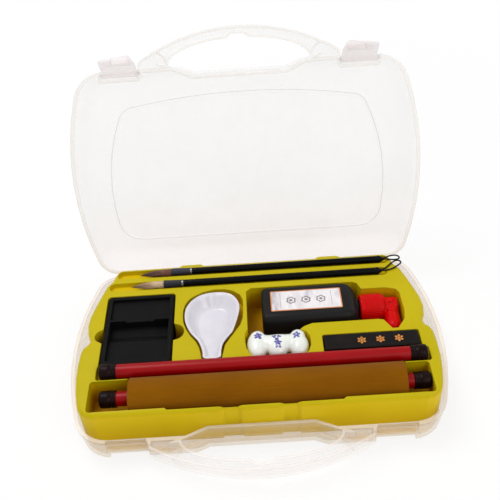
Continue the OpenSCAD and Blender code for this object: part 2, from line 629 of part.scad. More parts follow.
module tuft(x, y, z, r, droop) {
  n = strands;
  color("#6B4A33") translate([x, y, z]) one_skin() union() {
    polyhedron(
      points = [for (i = [0 : n - 1]) for (p = strand_pts(i, n, r))
        [p[0], p[1] - droop * pow(p[0] / hair_length, 2), p[2]]],
      faces = [for (i = [0 : n - 1]) for (f = strand_faces) [for (v = f) v + 7 * i]]);
    rotate([0, 90, 0]) cylinder(h = 2.4, r = r + 0.38, $fn = 24);
  }
}

module ferrule(x0, x1, y, z, r0, r1) {
  translate([x0, y, z]) rotate([0, 90, 0]) difference() {
    cylinder(h = x1 - x0, r1 = r0, r2 = r1);
    translate([0, 0, -1]) cylinder(h = 4, r = r0 - 0.24);
  }
}

module tip_end(x0, y, z, long) {
  r = handle_d / 2;
  translate([x0, y, z]) rotate([0, 90, 0]) rotate_extrude()
    polygon([[0, 0], [r, 0], [r + 0.2, 0.6], [r + 0.2, 2.6], [1.6, long - 1], [1.2, long], [0, long]]);
}

module brush_a_handle() {
  color("#1C1A1B") bar(-56, 114.5, brush_a_y, brush_z, handle_d / 2);
}
module brush_a_ring() {
  color("#B9B9BD") bar(-57.6, -56, brush_a_y, brush_z, handle_d / 2 + 0.2);
}
module brush_a_ferrule() {
  color("#1C1A1B") ferrule(-74.5, -57.6, brush_a_y, brush_z, 3.7, handle_d / 2 + 0.1);
}
module brush_a_hair() {
  tuft(-74, brush_a_y, brush_z, 3, 2.2);
}
module brush_a_end() {
  color("#1C1A1B") tip_end(114.5, brush_a_y, brush_z, 6.8);
}
module brush_b_handle() {
  color("#1C1A1B") bar(-63.5, 111, brush_b_y, brush_z, handle_d / 2);
}
module brush_b_ring() {
  color("#B9B9BD") bar(-65, -63.5, brush_b_y, brush_z, handle_d / 2 + 0.2);
}
module brush_b_ferrule() {
  color("#1C1A1B") ferrule(-81.2, -65, brush_b_y, brush_z, 3.7, handle_d / 2 + 0.1);
}
module brush_b_hair() {
  tuft(-80.7, brush_b_y, brush_z, 3, 1.4);
}
module brush_b_end() {
  color("#1C1A1B") tip_end(111, brush_b_y, brush_z, 5.9);
}

// eight sided cord along a route
module cord(route, d) {
  n = len(route);
  sides = 8;
  dirs = [for (i = [0 : n - 1]) unit(route[min(i + 1, n - 1)] - route[max(i - 1, 0)])];
  polyhedron(
    points = [for (i = [0 : n - 1]) let (s = unit(cross3(dirs[i], [0, 0, 1])), u = cross3(s, dirs[i]))
      for (k = [0 : sides - 1]) route[i] + d / 2 * (cos(k * 45 + 22.5) * s + sin(k * 45 + 22.5) * u)],
    faces = concat(
      [[for (k = [sides - 1 : -1 : 0]) k]],
      [for (i = [0 : n - 2]) for (k = [0 : sides - 1]) let (m = (k + 1) % sides)
        for (f = [[i * sides + k, i * sides + m, (i + 1) * sides + m],
          [i * sides + k, (i + 1) * sides + m, (i + 1) * sides + k]]) f],
      [[for (k = [0 : sides - 1]) (n - 1) * sides + k]]));
}
module brush_a_loop() {
  color("#1C1A1B") cord(loop_a, loop_d);
}
module brush_b_loop() {
  color("#1C1A1B") cord(loop_b, loop_d);
}

base_shell();
lid_shell();
latch_left();
latch_right();
tray();
inkstone();
spoon_dish();
bottle_body();
bottle_label();
bottle_cap();
brush_rest();
ink_stick();
scroll_top_rod();
scroll_top_caps();
scroll_roller();
scroll_roller_caps();
scroll_cloth();
scroll_tail();
brush_a_handle();
brush_a_ring();
brush_a_ferrule();
brush_a_hair();
brush_a_end();
brush_a_loop();
brush_b_handle();
brush_b_ring();
brush_b_ferrule();
brush_b_hair();
brush_b_end();
brush_b_loop();
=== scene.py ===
import math
import random

import bmesh
import bpy
from mathutils import Matrix, Vector


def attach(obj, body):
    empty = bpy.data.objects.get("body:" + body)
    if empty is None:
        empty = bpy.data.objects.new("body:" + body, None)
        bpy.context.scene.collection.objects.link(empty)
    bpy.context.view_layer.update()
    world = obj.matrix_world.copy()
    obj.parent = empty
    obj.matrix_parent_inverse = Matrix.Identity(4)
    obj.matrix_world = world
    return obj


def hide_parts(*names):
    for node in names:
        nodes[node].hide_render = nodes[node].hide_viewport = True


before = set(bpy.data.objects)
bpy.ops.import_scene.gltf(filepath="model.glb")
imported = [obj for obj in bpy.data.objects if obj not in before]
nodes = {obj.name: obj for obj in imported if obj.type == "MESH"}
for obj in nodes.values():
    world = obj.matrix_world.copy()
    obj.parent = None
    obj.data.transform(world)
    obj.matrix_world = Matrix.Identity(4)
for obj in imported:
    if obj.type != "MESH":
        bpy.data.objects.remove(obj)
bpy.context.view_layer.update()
scene = bpy.context.scene

# Shapes are written in millimetres; the scene and all shader coordinates are in metres.
MM = 0.001
TURN = 2 * math.pi


def px(r, g, b):
    """A colour as it is seen, 0 to 255, as the linear colour that a shader takes."""
    out = []
    for c in (r, g, b):
        c = c / 255
        out.append(c / 12.92 if c <= 0.04045 else ((c + 0.055) / 1.055) ** 2.4)
    return (*out, 1.0)


# ---------------------------------------------------------------- camera

# The photograph's viewpoint, solved from the outlines of the case, its handle and its panel.
SENSOR_MM = 36
LENS_MM = 55.0224
NEAR_CLIP = 0.01
VIEWPOINT = Matrix((
    (0.997839736, 0.064473747, 0.0126094, 0.007571182),
    (-0.032518536, 0.65151265, -0.757940507, -0.450554881),
    (-0.057082448, 0.755893116, 0.652201802, 0.518337855),
    (0, 0, 0, 1)))

cam_data = bpy.data.cameras.new("camera")
cam_data.sensor_fit = "HORIZONTAL"
cam_data.sensor_width = SENSOR_MM
cam_data.lens = LENS_MM
cam_data.clip_start = NEAR_CLIP
camera = bpy.data.objects.new("camera", cam_data)
scene.collection.objects.link(camera)
camera.matrix_world = VIEWPOINT
scene.camera = camera


# ---------------------------------------------------------------- shader helpers

def blank(name):
    """A new material with its main shader."""
    m = bpy.data.materials.new(name)
    m.use_nodes = True
    return m


def add(m, kind, ins=None, **props):
    """A new node of a material or world: each input is set to a number or linked to a socket."""
    n = m.node_tree.nodes.new("ShaderNode" + kind)
    for k, v in props.items():
        setattr(n, k, v)
    for k, v in (ins or {}).items():
        if isinstance(v, bpy.types.NodeSocket):
            m.node_tree.links.new(v, n.inputs[k])
        else:
            n.inputs[k].default_value = v
    return n


def setup(m, **ins):
    """Sets sockets of the material's main shader: a number is set, a socket is linked."""
    b = m.node_tree.nodes["Principled BSDF"]
    for k, v in ins.items():
        k = k.replace("_", " ")
        if isinstance(v, bpy.types.NodeSocket):
            m.node_tree.links.new(v, b.inputs[k])
        else:
            b.inputs[k].default_value = v


def where(m):
    """Object coordinates, in metres in the frame of the model."""
    return add(m, "TexCoord").outputs["Object"]


def xyz(m, at=None):
    """The three parts of a coordinate, which is the place in the frame unless one is given."""
    s = add(m, "SeparateXYZ", {0: at or where(m)})
    return s.outputs[0], s.outputs[1], s.outputs[2]


def noise(m, scale, detail=3.0, rough=0.55, at=None, stretch=None):
    """Noise from 0 to 1; a stretch below 1 draws it out along that axis."""
    co = at or where(m)
    if stretch:
        co = add(m, "Mapping", {"Vector": co, "Scale": stretch}).outputs[0]
    return add(m, "TexNoise", {"Vector": co, "Scale": scale, "Detail": detail,
                               "Roughness": rough}).outputs["Fac"]


def ramp(m, fac, stops):
    """A colour ramp over fac, with stops of (position, colour)."""
    r = add(m, "ValToRGB", {"Fac": fac})
    e = r.color_ramp.elements
    while len(e) < len(stops):
        e.new(0.5)
    for el, (p, c) in zip(e, stops):
        el.position = p
        el.color = c
    return r.outputs["Color"]


def shades(m, fac, low, high):
    """Goes from one seen colour to another over the middle of a noise."""
    return ramp(m, fac, [(0.3, px(*low)), (0.7, px(*high))])


def grey(m, fac, lo, hi, a=0.0, b=1.0, kind="LINEAR"):
    """Maps fac from a..b to lo..hi."""
    return add(m, "MapRange", {"Value": fac, "From Min": a, "From Max": b, "To Min": lo,
                               "To Max": hi}, interpolation_type=kind).outputs["Result"]


def calc(m, op, a, b=0.0, c=0.0):
    return add(m, "Math", {0: a, 1: b, 2: c}, operation=op).outputs[0]


def times(m, a, b):
    return calc(m, "MULTIPLY", a, b)


def more(m, a, b):
    return calc(m, "MAXIMUM", a, b)


def less(m, a):
    """What a mask leaves free."""
    return calc(m, "SUBTRACT", 1.0, a)


def union(m, masks):
    """The highest of several masks, or None without any."""
    whole = None
    for one in masks:
        whole = one if whole is None else more(m, whole, one)
    return whole


def blend(m, fac, a, b):
    """Colour a where fac is 0, colour b where it is 1."""
    return add(m, "Mix", {0: fac, 6: a, 7: b}, data_type="RGBA").outputs[2]


def bump(m, height, distance, strength=1.0, onto=None):
    """A normal from a height, on top of another normal if one is given."""
    ins = {"Height": height, "Distance": distance, "Strength": strength}
    if onto:
        ins["Normal"] = onto
    return add(m, "Bump", ins).outputs["Normal"]


def round_edges(m, radius):
    """A normal that turns smoothly over every edge, as a small radius does."""
    return add(m, "Bevel", {"Radius": radius}, samples=6).outputs["Normal"]


def inside(m, v, lo, hi, soft=0.00015):
    """1 where lo < v < hi, with soft edges."""
    up = grey(m, v, 0.0, 1.0, lo - soft, lo + soft)
    down = grey(m, v, 1.0, 0.0, hi - soft, hi + soft)
    return times(m, up, down)


def area(m, x, y, xs, ys, soft=0.00015):
    """1 inside a rectangle, with soft edges."""
    return times(m, inside(m, x, *xs, soft), inside(m, y, *ys, soft))


def spot(m, x, y, cx, cy, r, petals=0, depth=0.3, turn=0.0, soft=0.00012):
    """1 inside a round or petalled spot about (cx, cy)."""
    dx = calc(m, "SUBTRACT", x, cx)
    dy = calc(m, "SUBTRACT", y, cy)
    d = calc(m, "SQRT", calc(m, "ADD", times(m, dx, dx), times(m, dy, dy)))
    if petals:
        a = calc(m, "ARCTAN2", dy, dx)
        w = calc(m, "ABSOLUTE", calc(m, "SINE", calc(m, "MULTIPLY_ADD", a, petals / 2, turn)))
        d = calc(m, "DIVIDE", d, calc(m, "MULTIPLY_ADD", w, depth, 1 - depth))
    return grey(m, d, 1.0, 0.0, r - soft, r + soft)


# ---------------------------------------------------------------- materials

HINGE = (0, 0.0974, 0.025)
LID_ANGLE = 109.2


def make_case(name, alpha, tone, tilt=0.0, rims=(), lines=(), grip=False):
    """Frosted clear polypropylene: thin skin that lets most light through, denser on its rims.

    rims and lines are bands of height (from, to, density) in the closed case.
    tilt is the angle at which the shell is drawn open about the hinge.
    """
    m = blank(name)
    co = where(m)
    if tilt:
        co = add(m, "VectorRotate", {"Vector": co, "Center": HINGE, "Axis": (1, 0, 0),
                                     "Angle": math.radians(tilt)},
                 rotation_type="AXIS_ANGLE").outputs[0]
    _, y, z = xyz(m, co)
    a = grey(m, noise(m, 16, 4, 0.6, at=co), alpha - 0.02, alpha + 0.03, 0.3, 0.7)
    tint = shades(m, noise(m, 9, 3, 0.5, at=co), [c - 5 for c in tone], tone)
    if tilt:
        # more opaque and a little warmer towards the hinge
        a = calc(m, "ADD", a, grey(m, y, 0.0, 0.045, 0.0, 0.092))
        tint = blend(m, grey(m, y, 0.0, 1.0, -0.01, 0.095), tint, px(242, 230, 224))
    edge = union(m, [times(m, inside(m, z, lo, hi, 0.0002), dense) for lo, hi, dense in rims])
    if grip:
        # the handle is thinner and paler, and low in the walls the tray's yellow is a painted
        # reflection glowing through
        hand = grey(m, y, 1.0, 0.0, -0.0995, -0.0965)
        a = times(m, a, less(m, times(m, hand, 0.48)))
        edge = times(m, edge, less(m, times(m, hand, 0.45)))
        tint = blend(m, hand, tint, px(252, 245, 243))
        low = grey(m, z, 0.85, 0.0, 0.0165, 0.0236)
        painted_tray_reflection = times(m, low, grey(m, y, 1.0, 0.3, -0.085, -0.06))
        tint = blend(m, times(m, painted_tray_reflection, less(m, hand)), tint, px(243, 208, 132))
    # the rims are denser plastic, and their cream tint is a painted highlight where the edges
    # catch light
    if edge is not None:
        tint = blend(m, edge, tint, px(253, 240, 224))
        a = more(m, a, edge)
    # each line is denser plastic, and its grey tint is painted shade
    for lo, hi, dense in lines:
        line = inside(m, z, lo, hi, 0.0001)
        a = more(m, a, times(m, line, dense))
        tint = blend(m, line, tint, px(206, 202, 198))
    fine = noise(m, 2600, 2, 0.6, at=co)
    flow = noise(m, 60, 3, 0.5, at=co, stretch=(0.4, 1.0, 0.4))
    h = calc(m, "MULTIPLY_ADD", flow, 2.0, fine)
    setup(m, Base_Color=tint, Roughness=grey(m, fine, 0.27, 0.4), IOR=1.49, Alpha=a,
          Normal=bump(m, h, 0.00006, 0.6, round_edges(m, 0.0006)),
          Coat_Weight=0.12, Coat_Roughness=0.2)
    return m


def make_tray():
    """Formed yellow sheet with painted light: greener on the lit top, warmer on the shaded walls,
    darkest with painted shade down in the pockets.
    """
    m = blank("tray_yellow")
    x, y, z = xyz(m)
    big = noise(m, 14, 3, 0.5)
    fine = noise(m, 1500, 3, 0.6)
    # painted light: a greener tone where the top is lit, a warmer one where the walls are in shade
    lit_top = shades(m, big, (186, 169, 8), (194, 177, 16))
    shaded_wall = shades(m, big, (212, 182, 0), (220, 189, 0))
    body = blend(m, grey(m, z, 1.0, 0.0, 0.0405, 0.0445), lit_top, shaded_wall)
    # painted shade: darker orange down in the pockets
    pocket_shade = area(m, x, y, (-0.1372, 0.1385), (-0.0806, 0.083), 0.0006)
    pocket_shade = times(m, pocket_shade, grey(m, z, 0.85, 0.0, 0.025, 0.0425))
    body = blend(m, pocket_shade, body, px(190, 130, 0))
    setup(m, Base_Color=body, Roughness=grey(m, fine, 0.34, 0.46), Specular_IOR_Level=0.1,
          Subsurface_Weight=0.12, Subsurface_Radius=(0.003, 0.0022, 0.0006),
          Subsurface_Scale=1.0, Normal=bump(m, fine, 0.00004, 0.5, round_edges(m, 0.0009)))
    return m


def make_stone():
    """Matt black stone with a few grey scuffs."""
    m = blank("inkstone_black")
    grain = noise(m, 420, 5, 0.7)
    cloud = noise(m, 40, 4, 0.6)
    scuff = noise(m, 90, 6, 0.75, stretch=(1, 5, 1))
    body = shades(m, cloud, (12, 12, 12), (19, 18, 18))
    body = blend(m, grey(m, scuff, 0.0, 0.35, 0.62, 0.72), body, px(33, 31, 30))
    setup(m, Base_Color=body, Roughness=grey(m, grain, 0.42, 0.62, 0.3, 0.7),
          Specular_IOR_Level=0.05, Normal=bump(m, grain, 0.00006, 0.7, round_edges(m, 0.0006)))
    return m


def make_glaze(name, high, low):
    """Glazed porcelain; gives the material and its body colour."""
    m = blank(name)
    cloud = noise(m, 50, 3, 0.5)
    fine = noise(m, 260, 2, 0.5)
    body = shades(m, cloud, low, high)
    setup(m, Base_Color=body, Roughness=grey(m, fine, 0.16, 0.24), Specular_IOR_Level=0.4,
          Coat_Weight=0.35, Coat_Roughness=0.06, Subsurface_Weight=0.15,
          Subsurface_Radius=(0.002, 0.002, 0.002), Subsurface_Scale=1.0,
          Normal=bump(m, fine, 0.00008, 0.35))
    return m, body


# blue brush marks on the rest: centre, radius, petals, petal depth and turn
REST_MARKS = [
    (0.0016, -0.0118, 0.0034, 5, 0.45, 0.3), (0.0030, -0.0146, 0.0013, 0, 0, 0),
    (-0.0004, -0.0142, 0.0012, 0, 0, 0), (0.0338, -0.0128, 0.0033, 5, 0.45, 1.1),
    (0.0352, -0.0156, 0.0011, 0, 0, 0), (0.0318, -0.0156, 0.0010, 0, 0, 0),
    (0.0150, -0.0134, 0.0023, 3, 0.5, 0.6), (0.0190, -0.0136, 0.0021, 3, 0.5, 1.9),
    (0.0170, -0.0168, 0.0017, 0, 0, 0), (0.0177, -0.0206, 0.0034, 5, 0.5, 0.9),
    (0.0164, -0.0246, 0.0013, 0, 0, 0), (0.0191, -0.0248, 0.0011, 0, 0, 0)]


def make_painted():
    """Porcelain with blue marks washed over its top."""
    m, body = make_glaze("porcelain_painted", (240, 243, 238), (228, 232, 226))
    x, y, z = xyz(m)
    wob = add(m, "TexNoise", {"Vector": where(m), "Scale": 900.0, "Detail": 3.0}).outputs["Fac"]
    x = calc(m, "ADD", x, grey(m, wob, -0.0005, 0.0005))
    y = calc(m, "ADD", y, grey(m, wob, 0.0004, -0.0004))
    marks = union(m, [spot(m, x, y, *mark, soft=0.00025) for mark in REST_MARKS])
    marks = times(m, marks, grey(m, z, 0.0, 1.0, 0.0385, 0.0400))
    wash = grey(m, noise(m, 700, 3, 0.6), 0.72, 1.0, 0.35, 0.6)
    ink = blend(m, noise(m, 500, 2, 0.5), px(30, 20, 122), px(62, 52, 172))
    setup(m, Base_Color=blend(m, times(m, marks, wash), body, ink))
    return m


def make_bottle():
    """Black blown plastic."""
    m = blank("bottle_black")
    fine = noise(m, 900, 3, 0.6)
    flow = noise(m, 30, 2, 0.5, stretch=(0.3, 1, 1))
    setup(m, Base_Color=shades(m, flow, (17, 16, 16), (24, 22, 22)),
          Roughness=grey(m, fine, 0.36, 0.5), Specular_IOR_Level=0.12,
          Normal=bump(m, fine, 0.00003, 0.5))
    return m


def make_label():
    """Foil label: pale silver, an orange hairline border, three flowers and no words."""
    m = blank("label_silver")
    x, y, _ = xyz(m)
    # the bright and dark bands this noise gives the foil's colour are painted sheen
    painted_sheen = noise(m, 22, 3, 0.6, stretch=(3.2, 0.9, 1))
    body = ramp(m, painted_sheen, [(0.3, px(176, 170, 176)), (0.42, px(222, 216, 220)),
                           (0.6, px(240, 236, 238)), (0.72, px(204, 200, 210))])
    marks = [area(m, x, y, xs, (0.0150, 0.0336), 0.0001)
             for xs in ((0.0225, 0.0228), (0.0670, 0.0673))]
    mid = 0.0243
    for cx in (0.0320, 0.0450, 0.0580):
        ring = spot(m, x, y, cx, mid, 0.0044, 6, 0.22, 0.4)
        hole = spot(m, x, y, cx, mid, 0.0032, 6, 0.3, 0.4)
        marks.append(more(m, calc(m, "SUBTRACT", ring, hole), spot(m, x, y, cx, mid, 0.0014)))
    body = blend(m, times(m, union(m, marks), 0.75), body, px(70, 48, 44))
    inner = area(m, x, y, (0.0152, 0.0748), (0.0131, 0.0355), 0.0002)
    body = blend(m, inner, px(214, 138, 84), body)
    setup(m, Base_Color=body, Metallic=0.35, Roughness=grey(m, painted_sheen, 0.22, 0.36),
          Normal=bump(m, noise(m, 120, 2, 0.5), 0.0001, 0.3))
    return m


def make_gloss(name, low, high, rough, scale, coat, bumpy=0.00004, stretch=None, shine=0.2):
    """A glossy plastic or lacquer in one tone with slow clouds."""
    m = blank(name)
    fine = noise(m, 700, 3, 0.6)
    cloud = noise(m, scale, 4, 0.6, stretch=stretch)
    setup(m, Base_Color=shades(m, cloud, low, high), Roughness=grey(m, fine, *rough),
          Specular_IOR_Level=shine, Coat_Weight=coat, Coat_Roughness=0.12,
          Normal=bump(m, fine, bumpy, 0.5))
    return m


def make_rod():
    """Lacquered wood: thin red lacquer with the grain just showing along the rod."""
    m = blank("rod_red")
    grain = noise(m, 240, 5, 0.65, stretch=(0.05, 1, 1))
    cloud = noise(m, 30, 3, 0.5)
    body = shades(m, grain, (138, 0, 4), (158, 0, 8))
    body = blend(m, grey(m, cloud, 0.0, 0.3, 0.4, 0.75), body, px(180, 6, 22))
    setup(m, Base_Color=body, Roughness=grey(m, grain, 0.3, 0.4), Specular_IOR_Level=0.1,
          Coat_Weight=0.12, Coat_Roughness=0.3, Normal=bump(m, grain, 0.00005, 0.5))
    return m


def make_ink_stick():
    """Pressed soot with a raised border and three gilded flowers on its top."""
    m = blank("ink_stick_black")
    x, y, z = xyz(m)
    mid = -0.0242
    grain = noise(m, 380, 5, 0.7)
    body = shades(m, noise(m, 70, 3, 0.5), (19, 16, 15), (27, 23, 22))
    flowers = []
    for cx in (0.0868, 0.1022, 0.1176):
        petal = calc(m, "SUBTRACT", spot(m, x, y, cx, mid, 0.0038, 6, 0.55, 0.2),
                     spot(m, x, y, cx, mid, 0.0019, 6, 0.5, 0.2))
        flowers.append(more(m, petal, spot(m, x, y, cx, mid, 0.0010)))
    border = calc(m, "SUBTRACT", area(m, x, y, (0.0578, 0.1322), (-0.0303, -0.0177)),
                  area(m, x, y, (0.0586, 0.1314), (-0.0295, -0.0185)))
    flake = grey(m, noise(m, 1300, 3, 0.7), 0.35, 1.0, 0.38, 0.5)
    up = grey(m, z, 0.0, 1.0, 0.0456, 0.0458)
    marks = times(m, times(m, union(m, flowers), flake), up)
    gold = blend(m, noise(m, 900, 2, 0.5), px(214, 118, 52), px(236, 170, 92))
    h = calc(m, "MULTIPLY_ADD", grain, 0.35, more(m, marks, times(m, border, up)))
    setup(m, Base_Color=blend(m, marks, body, gold), Roughness=grey(m, grain, 0.34, 0.5),
          Specular_IOR_Level=0.07, Normal=bump(m, h, 0.00012, 0.6, round_edges(m, 0.0005)))
    return m


def make_cloth():
    """Brown felt mat with a fine weave: warp and weft from the sheet's own lengths, in metres."""
    m = blank("cloth_ochre")
    uv = add(m, "UVMap").outputs[0]
    u, v, _ = xyz(m, uv)
    warp = calc(m, "SINE", times(m, u, TURN / 0.00075))
    weft = calc(m, "SINE", times(m, v, TURN / 0.00065))
    weave = times(m, warp, weft)
    fuzz = noise(m, 2200, 4, 0.7)
    cloud = noise(m, 24, 4, 0.6, stretch=(0.6, 1, 1))
    along = add(m, "Mapping", {"Vector": uv, "Scale": (4, 160, 1)}).outputs[0]
    slub = add(m, "TexNoise", {"Vector": along, "Scale": 9.0, "Detail": 3.0}).outputs["Fac"]
    body = ramp(m, cloud, [(0.25, px(122, 72, 0)), (0.5, px(132, 80, 0)), (0.75, px(142, 88, 2))])
    body = blend(m, grey(m, weave, 0.0, 0.28, -1, 1), body, px(98, 54, 0))
    body = blend(m, grey(m, slub, 0.0, 0.35, 0.52, 0.72), body, px(152, 94, 8))
    h = calc(m, "MULTIPLY_ADD", weave, 0.5, fuzz)
    setup(m, Base_Color=body, Roughness=grey(m, fuzz, 0.78, 0.96), Sheen_Weight=0.06,
          Sheen_Roughness=0.45, Specular_IOR_Level=0.06, Normal=bump(m, h, 0.00016, 0.7))
    return m


def make_hair(name, root, mid, tip, x0, x1):
    """Hair that changes from its root at x0 to its tip at x1."""
    m = blank(name)
    x, _, _ = xyz(m)
    streak = noise(m, 900, 4, 0.6, stretch=(0.05, 1, 1))
    t = calc(m, "ADD", grey(m, x, 0.0, 1.0, x0, x1), grey(m, streak, -0.09, 0.09, 0.3, 0.7))
    body = ramp(m, t, [(0.0, px(*root)), (0.5, px(*mid)), (1.0, px(*tip))])
    dark = px(*[int(c * 0.62) for c in mid])
    body = blend(m, grey(m, streak, 0.0, 0.45, 0.35, 0.75), body, dark)
    setup(m, Base_Color=body, Roughness=grey(m, streak, 0.42, 0.62), Sheen_Weight=0.25,
          Anisotropic=0.5, Normal=bump(m, streak, 0.00012, 0.8))
    return m


def make_metal():
    """Turned nickel plate."""
    m = blank("ring_silver")
    turn = noise(m, 1400, 3, 0.6, stretch=(1, 0.08, 0.08))
    setup(m, Base_Color=shades(m, turn, (104, 103, 102), (132, 131, 130)), Metallic=1.0,
          Roughness=grey(m, turn, 0.2, 0.34), Normal=bump(m, turn, 0.00003, 0.5))
    return m


def make_thread():
    """Black cotton thread."""
    m = blank("loop_black")
    fuzz = noise(m, 4000, 3, 0.7)
    setup(m, Base_Color=shades(m, fuzz, (12, 11, 13), (26, 24, 27)),
          Roughness=grey(m, fuzz, 0.7, 0.9), Sheen_Weight=0.1, Specular_IOR_Level=0.1,
          Normal=bump(m, fuzz, 0.0001, 0.7))
    return m


CASE_BASE = make_case("case_plastic_base", 0.22, (242, 230, 226),
                      rims=[(0.0240, 0.0262, 0.55), (0.0094, 0.0112, 0.4)], grip=True)
CASE_LID = make_case("case_plastic_lid", 0.15, (250, 248, 245), tilt=LID_ANGLE,
                     rims=[(0.0245, 0.0280, 0.42)], lines=[(0.05965, 0.0607, 0.5)])
CASE_FLAP = make_case("case_plastic_flap", 0.26, (238, 226, 226))
TRAY = make_tray()
STONE = make_stone()
WHITE, _ = make_glaze("porcelain_white", (222, 219, 225), (213, 210, 219))
PAINTED = make_painted()
BOTTLE = make_bottle()
LABEL = make_label()
CAP = make_gloss("cap_red", (194, 1, 3), (208, 3, 5), (0.26, 0.38), 50, 0.06, shine=0.07)
ROD = make_rod()
DARK = make_gloss("cap_dark", (15, 4, 4), (28, 9, 8), (0.3, 0.42), 70, 0.02, shine=0.06)
STICK = make_ink_stick()
CLOTH = make_cloth()
BLACK = make_gloss("brush_black", (3, 3, 4), (8, 8, 9), (0.14, 0.24), 120, 0.03,
                   0.00003, (0.06, 1, 1), 0.05)
HORN = make_gloss("brush_horn", (22, 23, 29), (52, 52, 64), (0.24, 0.36), 160, 0.06,
                  0.00004, (0.1, 1, 1), 0.15)
SILVER = make_metal()
HAIR_A = make_hair("hair_brown", (122, 70, 44), (104, 56, 34), (46, 26, 20), -0.072, -0.104)
HAIR_B = make_hair("hair_pale", (228, 206, 172), (196, 160, 122), (86, 52, 36), -0.079, -0.112)
THREAD = make_thread()


# ---------------------------------------------------------------- mesh helpers

def turn_out(me):
    """Faces of a new mesh all look outward."""
    b = bmesh.new()
    b.from_mesh(me)
    bmesh.ops.recalc_face_normals(b, faces=b.faces)
    b.to_mesh(me)
    b.free()


def place(name, verts, faces, material, body, slot, stands_for=()):
    """A new smooth piece on its body, in place of CAD nodes."""
    me = bpy.data.meshes.new(name)
    me.from_pydata([tuple(v) for v in verts], [], faces)
    me.update()
    turn_out(me)
    me.polygons.foreach_set("use_smooth", [True] * len(me.polygons))
    me.materials.append(material)
    o = bpy.data.objects.new(name, me)
    scene.collection.objects.link(o)
    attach(o, body)
    if stands_for:
        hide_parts(*stands_for)
    return o


def join(parts):
    """Several (verts, faces) as one."""
    verts, faces = [], []
    for v, f in parts:
        k = len(verts)
        verts += v
        faces += [tuple(i + k for i in face) for face in f]
    return verts, faces


def loft(rings, capped=True):
    """Faces of a skin over rings of the same length, with its ends closed if capped."""
    n = len(rings[0])
    verts = [Vector(v) for r in rings for v in r]
    faces = []
    for i in range(len(rings) - 1):
        for j in range(n):
            k = (j + 1) % n
            faces.append((i * n + j, i * n + k, (i + 1) * n + k, (i + 1) * n + j))
    if capped:
        faces.append(tuple(range(n))[::-1])
        faces.append(tuple((len(rings) - 1) * n + j for j in range(n)))
    return verts, faces


def circle(x, y, z, r, n, axis):
    """A ring of n points around the Y or Z axis through a point, in mm."""
    ring = []
    for j in range(n):
        a, b = r * math.cos(TURN * j / n), r * math.sin(TURN * j / n)
        ring.append(Vector((x + a, y, z + b) if axis == "Y" else (x + a, y + b, z)) * MM)
    return ring


def turned(profile, y, z, n=64, wave=None):
    """Rings about an axis along X through (y, z), from a profile of (x, radius), in mm."""
    rings = []
    for x, r in profile:
        ring = []
        for j in range(n):
            a = TURN * j / n
            q = r * (1 + (wave(x, a) if wave else 0))
            ring.append(Vector((x, y + q * math.cos(a), z + q * math.sin(a))) * MM)
        rings.append(ring)
    return rings


def spline(points, steps, closed=False):
    """Points on a smooth curve through the given ones."""
    p = [Vector(q) for q in points]
    n = len(p)
    out = []
    last = n if closed else n - 1
    for i in range(last):
        a = p[(i - 1) % n] if closed or i > 0 else p[0] * 2 - p[1]
        b, c = p[i], p[(i + 1) % n]
        d = p[(i + 2) % n] if closed or i + 2 < n else p[-1] * 2 - p[-2]
        for s in range(steps):
            t = s / steps
            out.append(0.5 * ((2 * b) + (c - a) * t + (2 * a - 5 * b + 4 * c - d) * t * t
                              + (3 * b - a - 3 * c + d) * t * t * t))
    if not closed:
        out.append(p[-1].copy())
    return out


def even(points, count):
    """The same line with count points, evenly spaced, and its length."""
    s = [0.0]
    for a, b in zip(points, points[1:]):
        s.append(s[-1] + (b - a).length)
    out, i = [], 0
    for k in range(count):
        t = s[-1] * k / (count - 1)
        while i < len(points) - 2 and s[i + 1] < t:
            i += 1
        f = (t - s[i]) / max(s[i + 1] - s[i], 1e-9)
        out.append(points[i].lerp(points[i + 1], min(max(f, 0), 1)))
    return out, s[-1]


# ---------------------------------------------------------------- cords: the two hanging loops

LOOP_A = [[121.6, 75.2, 45.5], [123.6, 76, 45.75], [125.8, 76.9, 46], [128.2, 77.6, 46],
          [130.6, 77.9, 46], [132.9, 77.6, 46], [134.7, 76.5, 46], [135.4, 74.9, 46],
          [135, 73.3, 46], [133.4, 72.3, 46], [131, 72, 46], [128.4, 72.2, 46],
          [126, 72.8, 45.95], [123.8, 73.4, 45.75], [121.6, 74.1, 45.5]]
LOOP_B = [[117.2, 59.7, 45.5], [119, 60.6, 45.8], [121.4, 62.2, 46], [123.8, 64.4, 46],
          [126.2, 66.8, 46], [128.8, 69, 46], [131.6, 70.5, 46], [134.2, 70.3, 46],
          [135.6, 68.7, 46], [135.2, 66.6, 46], [133.4, 64.8, 46], [131, 63, 46],
          [128.4, 61.2, 46], [125.4, 59.7, 46], [122.2, 58.8, 45.9], [119.4, 58.4, 45.7],
          [117.2, 58.5, 45.5]]
LOOP_THICK = 1.45 * MM
LOOP_LAY = 0.0045
LOOP_POINTS = 150
LOOP_SIDES = 15


def thread_loop(name, route, body, node):
    """A cord of three twisted strands along the route."""
    fine, long = even([Vector(p) * MM for p in spline(route, 8)], LOOP_POINTS)
    d = LOOP_THICK
    rings = []
    for i, p in enumerate(fine):
        t = (fine[min(i + 1, len(fine) - 1)] - fine[max(i - 1, 0)]).normalized()
        u = t.cross(Vector((0, 0, 1))).normalized()
        w = u.cross(t).normalized()
        twist = TURN * (long * i / (len(fine) - 1)) / LOOP_LAY
        ring = []
        for j in range(LOOP_SIDES):
            a = TURN * j / LOOP_SIDES
            r = d / 2 * (0.94 + 0.06 * math.cos(3 * (a - twist)))
            ring.append(p + u * r * math.cos(a) + w * r * math.sin(a))
        rings.append(ring)
    o = place(name, *loft(rings), THREAD, body, "loop_black", [node])
    path, _ = even(fine, 36)


thread_loop("hanging_loop_a", LOOP_A, "brush_a", "brush_a_loop")
thread_loop("hanging_loop_b", LOOP_B, "brush_b", "brush_b_loop")


# ---------------------------------------------------------------- case, tray and plain solids

